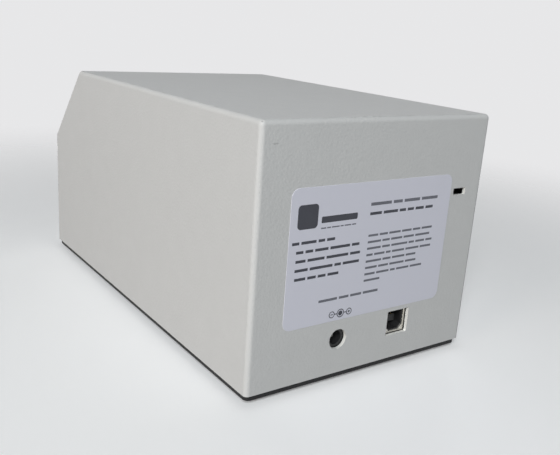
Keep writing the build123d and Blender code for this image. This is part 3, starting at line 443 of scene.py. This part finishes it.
# painted shade: the case coat a little darker for the lugs inside the cover
shaded_inner_paint, *_ = powder_coat("shaded_inner_paint", shade(case_colour, 0.95), 0.6, coat_grain, coat_depth)
base_paint, *_ = powder_coat("base_paint", black_colour, 0.55, coat_grain, coat_depth)
foot_rubber = finish_of("foot_rubber", (0.016, 0.016, 0.016), 0.8, 0.0006, 0.00004)
label_film = finish_of("label_film", film_colour, 0.42, 0.004, 0.00002, mottle=0.015)
label_ink = finish_of("label_ink", ink_colour, 0.45, 0.001, 0.00001, mottle=0.2)
soft_ink = finish_of("soft_ink", (0.13, 0.135, 0.16), 0.45, 0.001, 0.00001, mottle=0.2)
black_plastic = finish_of("black_plastic", (0.018, 0.018, 0.019), 0.5, 0.0005, 0.00002)
wheel_plastic = finish_of("wheel_plastic", (0.022, 0.022, 0.023), 0.42, 0.0004, 0.000015)
light_plastic = clear_glass("light_plastic", (0.55, 0.9, 0.6), 0.2)
machined = finish_of(
    "machined", (0.62, 0.63, 0.64), 0.34, 0.0012, 0.00002, metallic=1.0, stretch=(1, 12, 12)
)
anodised = finish_of("anodised", (0.02, 0.02, 0.022), 0.5, 0.0006, 0.00001, metallic=0.6)
steel = finish_of("steel", (0.55, 0.56, 0.57), 0.28, 0.0008, 0.00001, metallic=1.0, stretch=(1, 1, 8))
bronze = finish_of("bronze", (0.55, 0.36, 0.14), 0.32, 0.0008, 0.00001, metallic=1.0, stretch=(1, 1, 8))
silvering = finish_of("silvering", (0.9, 0.9, 0.9), 0.08, 0.01, 0.000002, metallic=1.0, mottle=0.01)
lens_glass = clear_glass("lens_glass", (0.95, 0.98, 0.97))
threaded = thread_of("threaded", (0.55, 0.56, 0.57), 0.5 * mm)
board_resist = circuit_board("board_resist", (0.02, 0.12, 0.05))
chip_epoxy = finish_of("chip_epoxy", (0.02, 0.02, 0.02), 0.55, 0.0003, 0.00001)
sleeve = finish_of("sleeve", (0.015, 0.018, 0.05), 0.3, 0.0015, 0.00001, coat=0.3)
# painted shade: the jack's pin given darker plating than its own bright metal, for the shade in the bore
bore_shaded_plate = finish_of("bore_shaded_plate", (0.20, 0.20, 0.19), 0.38, 0.0007, 0.000015, metallic=1.0, mottle=0.12)
tin_plate = finish_of("tin_plate", (0.62, 0.60, 0.56), 0.25, 0.0007, 0.000015, metallic=1.0, mottle=0.12)
gold_plate = finish_of("gold_plate", (0.75, 0.52, 0.2), 0.25, 0.0006, 0.00001, metallic=1.0)
header_plastic = finish_of("header_plastic", (0.68, 0.66, 0.58), 0.45, 0.0006, 0.00001)
emitter_plastic = finish_of("emitter_plastic", (0.75, 0.7, 0.42), 0.3, 0.001, 0.00001, coat=0.5)
jacket = finish_of("jacket", (0.02, 0.02, 0.021), 0.5, 0.0015, 0.00002)

node_materials = {
    "cover": case_paint,
    "cover_lug": shaded_inner_paint,
    "base_plate": base_paint,
    "foot_": foot_rubber,
    "rating_label": label_film,
    "slide_bezel": black_plastic,
    "slide_guide": black_plastic,
    "data_socket_core": black_plastic,
    "power_jack": black_plastic,
    "focus_wheel": wheel_plastic,
    "power_light": light_plastic,
    "stage_plate": machined,
    "stage_posts": machined,
    "bearing_bracket": machined,
    "focus_carriage": machined,
    "upright_frame": machined,
    "camera_bracket": machined,
    "lamp_block": machined,
    "board_standoffs": machined,
    "mirror_block": anodised,
    "camera_tube": anodised,
    "camera_housing": anodised,
    "condenser_tube": anodised,
    "objective_barrel": anodised,
    "flat_head_screws": steel,
    "short_screws": steel,
    "rail_screws": steel,
    "long_screws": steel,
    "retaining_ring": steel,
    "hub_set_screw": steel,
    "lead_screw": threaded,
    "guide_rod": steel,
    "slide_spring": steel,
    "lower_screw_bush": bronze,
    "upper_screw_bush": bronze,
    "rod_bush": bronze,
    "focus_nut": bronze,
    "fold_mirror": silvering,
    "objective_lens": lens_glass,
    "condenser_lens": lens_glass,
    "main_board": board_resist,
    "sensor_board": board_resist,
    "controller_chip": chip_epoxy,
    "image_sensor": chip_epoxy,
    "capacitors": sleeve,
    "data_socket_shell": tin_plate,
    "power_jack_pin": bore_shaded_plate,
    "board_connectors": header_plastic,
    "lamp_emitter": emitter_plastic,
    "lamp_cable": jacket,
    "camera_cable": jacket,
}


def dress_nodes():
    """Gives every CAD node the material of the longest name above that it starts with."""
    for name, node in cad_nodes.items():
        key = max((k for k in node_materials if name.startswith(k)), key=len)
        node.data.materials.clear()
        node.data.materials.append(node_materials[key])


# ---------------------------------------------------------------- mesh pieces
def add_piece(name, bm, material, body):
    """A flat-shaded piece from bm, which is freed."""
    mesh = from_bmesh(name, bm)
    mesh.materials.append(material)
    piece = bpy.data.objects.new(name, mesh)
    bpy.context.scene.collection.objects.link(piece)
    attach(piece, body)
    return piece


def from_bmesh(name, bm):
    mesh = bpy.data.meshes.new(name)
    bm.to_mesh(mesh)
    bm.free()
    return mesh


def rounded_outline(width, height, corner, steps=8):
    """Points round a rectangle with rounded corners, centred on the origin."""
    points = []
    for k, (sx, sz) in enumerate(((1, 1), (-1, 1), (-1, -1), (1, -1))):
        centre = (sx * (width / 2 - corner), sz * (height / 2 - corner))
        for i in range(steps + 1):
            angle = math.pi / 2 * (k + i / steps)
            across = centre[0] + corner * math.cos(angle)
            points.append((across, centre[1] + corner * math.sin(angle)))
    return points


# ---------------------------------------------------------------- label
label_low, label_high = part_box("rating_label")
rear_y = label_low.y
film_thickness = 0.12 * mm
ink_height = 0.135 * mm
label_corner = 3.5 * mm
bar_share = 0.52  # a bar's height over that of the row's capitals
word_gap = 0.45  # a gap between bars over that height
word_reach = (1.3, 5.2)  # the shortest and longest bar over that height
label_seed = 7
left_edge = label_high.x
upper_edge = label_high.z


def make_label():
    """The label's film: a thin sheet with a softened edge."""
    width, height = label_high.x - label_low.x, label_high.z - label_low.z
    centre = (label_low + label_high) / 2
    bm = bmesh.new()
    rings = []
    for grow, y in ((0.0, 0.0), (0.0, 0.7), (-0.05 * mm, 1.0)):
        outline = rounded_outline(width + 2 * grow, height + 2 * grow, label_corner + grow)
        level = rear_y + y * film_thickness
        rings.append([bm.verts.new((centre.x + x, level, centre.z + z)) for x, z in outline])
    for lower, upper in zip(rings, rings[1:]):
        for i in range(len(lower)):
            j = (i + 1) % len(lower)
            bm.faces.new((lower[i], lower[j], upper[j], upper[i]))
    bm.faces.new(rings[-1])
    bm.faces.new(list(reversed(rings[0])))
    bmesh.ops.recalc_face_normals(bm, faces=bm.faces)
    piece = add_piece("label_film", bm, label_film, instrument)
    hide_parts("rating_label")


def label_point(across, down):
    """A point of the label's print, in millimetres from its upper left corner seen from behind."""
    return Vector((left_edge - across * mm, rear_y + ink_height, upper_edge - down * mm))


def print_rectangle(bm, across, down, width, height, corner=0.0):
    """A printed rectangle with its lower left corner at (across, down)."""
    if corner:
        outline = rounded_outline(width, height, corner)
    else:
        outline = [(i * width / 2, j * height / 2) for i, j in ((1, 1), (-1, 1), (-1, -1), (1, -1))]
    middle = (across + width / 2, down - height / 2)
    bm.faces.new([bm.verts.new(label_point(middle[0] + x, middle[1] - y)) for x, y in outline])


def print_disc(bm, across, down, outer, inner=0.0, steps=20):
    """A printed disc, or a ring where inner isn't 0."""
    circles = []
    for radius in (outer, inner):
        if radius:
            circle = []
            for i in range(steps):
                angle = 2 * math.pi * i / steps
                place = label_point(across + radius * math.cos(angle), down + radius * math.sin(angle))
                circle.append(bm.verts.new(place))
            circles.append(circle)
    if len(circles) == 1:
        bm.faces.new(circles[0])
        return
    for i in range(steps):
        j = (i + 1) % steps
        bm.faces.new((circles[0][i], circles[0][j], circles[1][j], circles[1][i]))


def print_row(bm, across, baseline, length, height, draw):
    """A row of plain bars, one for each word of a line of small print."""
    x = across
    end = across + length
    while x < end - height:
        word = min(height * draw.uniform(*word_reach), end - x)
        print_rectangle(bm, x, baseline, word, height * bar_share)
        x += word + height * word_gap


def print_polarity(bm, across, down):
    """The plug's polarity sign: a minus and a plus, each in a ring, joined to a ring round a disc."""
    reach, ring, stroke = 4.5, 1.5, 0.42
    sign, disc, outer_ring = 1.2, 1.1, 1.9
    for i in (-1, 1):
        print_disc(bm, across + i * reach, down, ring, ring - stroke * 0.9)
        print_rectangle(bm, across + i * reach - sign / 2, down + stroke / 2, sign, stroke)
        near, far = sorted((across + i * ring, across + i * (reach - ring)))
        print_rectangle(bm, near, down + stroke / 2, far - near, stroke)
    print_rectangle(bm, across + reach - stroke / 2, down + sign / 2, stroke, sign)
    print_disc(bm, across, down, disc)
    print_disc(bm, across, down, outer_ring, outer_ring - stroke)


left_rows = ((1.6, 20.7), (3.8, 32.0), (3.8, 32.2), (3.7, 32.2), (3.8, 24.8))  # across, length
left_first, left_pitch, left_height = 22.1, 3.65, 2.2  # their baselines and capitals
right_rows = (36.5, 35.8, 37.3, 37.2, 28.4, 28.9, 35.2, 8.7)  # lengths
right_edge = 39.7
right_first, right_pitch, right_height = 23.0, 2.77, 1.8


def make_print():
    """All of the label's print, dark and light, as flat shapes placed in millimetres."""
    draw = random.Random(label_seed)
    dark = bmesh.new()
    soft = bmesh.new()
    print_rectangle(dark, 3.4, 16.2, 9.6, 9.6, corner=1.6)
    print_rectangle(dark, 14.8, 14.6, 18.0, 2.6, corner=0.5)
    print_row(soft, 14.8, 16.9, 17.6, 1.0, draw)
    for k, (across, length) in enumerate(left_rows):
        print_row(dark, across, left_first + left_pitch * k, length, left_height, draw)
    print_row(soft, 39.4, 10.0, 38.6, 2.5, draw)
    print_row(dark, 39.4, 13.9, 35.7, 2.3, draw)
    for k, length in enumerate(right_rows):
        print_row(soft, right_edge, right_first + right_pitch * k, length, right_height, draw)
    print_row(soft, 16.7, 47.7, 31.8, 2.1, draw)
    print_polarity(dark, 28.7, 54.1)
    prints = (("label_dark_print", dark, label_ink), ("label_soft_print", soft, soft_ink))
    for name, bm, ink in prints:
        bmesh.ops.recalc_face_normals(bm, faces=bm.faces)
        for face in bm.faces:
            if face.normal.y < 0:
                face.normal_flip()
        add_piece(name, bm, ink, instrument)


# ---------------------------------------------------------------- sockets and board parts
shell_low, shell_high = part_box("data_socket_shell")
pin_low, pin_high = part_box("power_jack_pin")
board_low, board_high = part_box("main_board")
chip_low, chip_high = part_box("controller_chip")
tongue_depth = 3.0 * mm  # the tongue's tip behind the socket's mouth
tongue_half_height = 1.6 * mm
contact_size = (1.0 * mm, 5.4 * mm, 0.12 * mm)
contact_offset = 1.25 * mm
contact_set = 0.2 * mm  # the contacts' ends behind the tongue's tip
leaf_radius = 2.95 * mm
leaf_thickness = 0.15 * mm
leaf_length = (1.2 * mm, 8.0 * mm)  # its ends behind the jack's mouth
leaf_angles = (100, 150)
leaf_steps = 8
board_seed = 3
part_sizes = ((1.6, 0.8, 0.5), (2.0, 1.2, 0.6), (3.0, 1.6, 0.9))  # in millimetres
part_start = (9, 14)  # the first part from the board's left front corner, in millimetres
part_pitch = (6.2, 4.6)
part_columns = 12
part_rows = 7
part_share = 0.7  # how many of the places are taken
chip_margin = 3 * mm


def add_box(bm, low, high):
    corners = [bm.verts.new([(low, high)[(i >> k) & 1][k] for k in range(3)]) for i in range(8)]
    for face in ((0, 2, 3, 1), (4, 5, 7, 6), (0, 1, 5, 4), (2, 6, 7, 3), (0, 4, 6, 2), (1, 3, 7, 5)):
        bm.faces.new([corners[i] for i in face])


def make_contacts():
    """Two plated contacts above and two below the data socket's tongue."""
    bm = bmesh.new()
    middle = (shell_low + shell_high) / 2
    wide, long, thick = contact_size
    far = shell_high.y - tongue_depth - contact_set
    for i in (-1, 1):
        for j in (-1, 1):
            x = middle.x + i * contact_offset
            z = middle.z + j * (tongue_half_height + thick / 2)
            low = (x - wide / 2, far - long, z - thick / 2)
            add_box(bm, low, (x + wide / 2, far, z + thick / 2))
    add_piece("data_socket_contacts", bm, gold_plate, instrument)


def make_leaf():
    """The jack's sprung side contact, a curved strip in its bore."""
    bm = bmesh.new()
    centre = (pin_low + pin_high) / 2
    near, deep = (shell_high.y - d for d in leaf_length)
    first, last = (math.radians(angle) for angle in leaf_angles)
    rings = []
    for y in (near, deep):
        for radius in (leaf_radius, leaf_radius - leaf_thickness):
            ring = []
            for i in range(leaf_steps + 1):
                angle = first + (last - first) * i / leaf_steps
                place = (centre.x - radius * math.cos(angle), y, centre.z + radius * math.sin(angle))
                ring.append(bm.verts.new(place))
            rings.append(ring)
    for a, b in ((0, 1), (1, 3), (3, 2), (2, 0)):
        for i in range(leaf_steps):
            bm.faces.new((rings[a][i], rings[a][i + 1], rings[b][i + 1], rings[b][i]))
    for i in (0, leaf_steps):
        bm.faces.new((rings[0][i], rings[1][i], rings[3][i], rings[2][i]))
    bmesh.ops.recalc_face_normals(bm, faces=bm.faces)
    add_piece("power_jack_contact", bm, tin_plate, instrument)


def near_chip(x, y):
    beside = chip_low.x - chip_margin < x < chip_high.x + chip_margin
    return beside and chip_low.y - chip_margin < y < chip_high.y + chip_margin


def make_board_parts():
    """Small surface-mounted parts in rows on the main board."""
    draw = random.Random(board_seed)
    bm = bmesh.new()
    top = board_high.z
    for row in range(part_rows):
        for column in range(part_columns):
            x = board_low.x + (part_start[0] + part_pitch[0] * column) * mm
            y = board_low.y + (part_start[1] + part_pitch[1] * row) * mm
            size = Vector(draw.choice(part_sizes)) * mm
            keep = draw.random() < part_share
            if keep and not near_chip(x, y):
                low = (x - size.x / 2, y - size.y / 2, top)
                add_box(bm, low, (x + size.x / 2, y + size.y / 2, top + size.z))
    add_piece("board_small_parts", bm, chip_epoxy, instrument)


# ---------------------------------------------------------------- make everything
bpy.context.scene.view_settings.view_transform = "Standard"
make_camera()
make_world()
make_floor()
make_soft_lights()
make_fill()
dress_nodes()
make_label()
make_print()
make_contacts()
make_leaf()
make_board_parts()
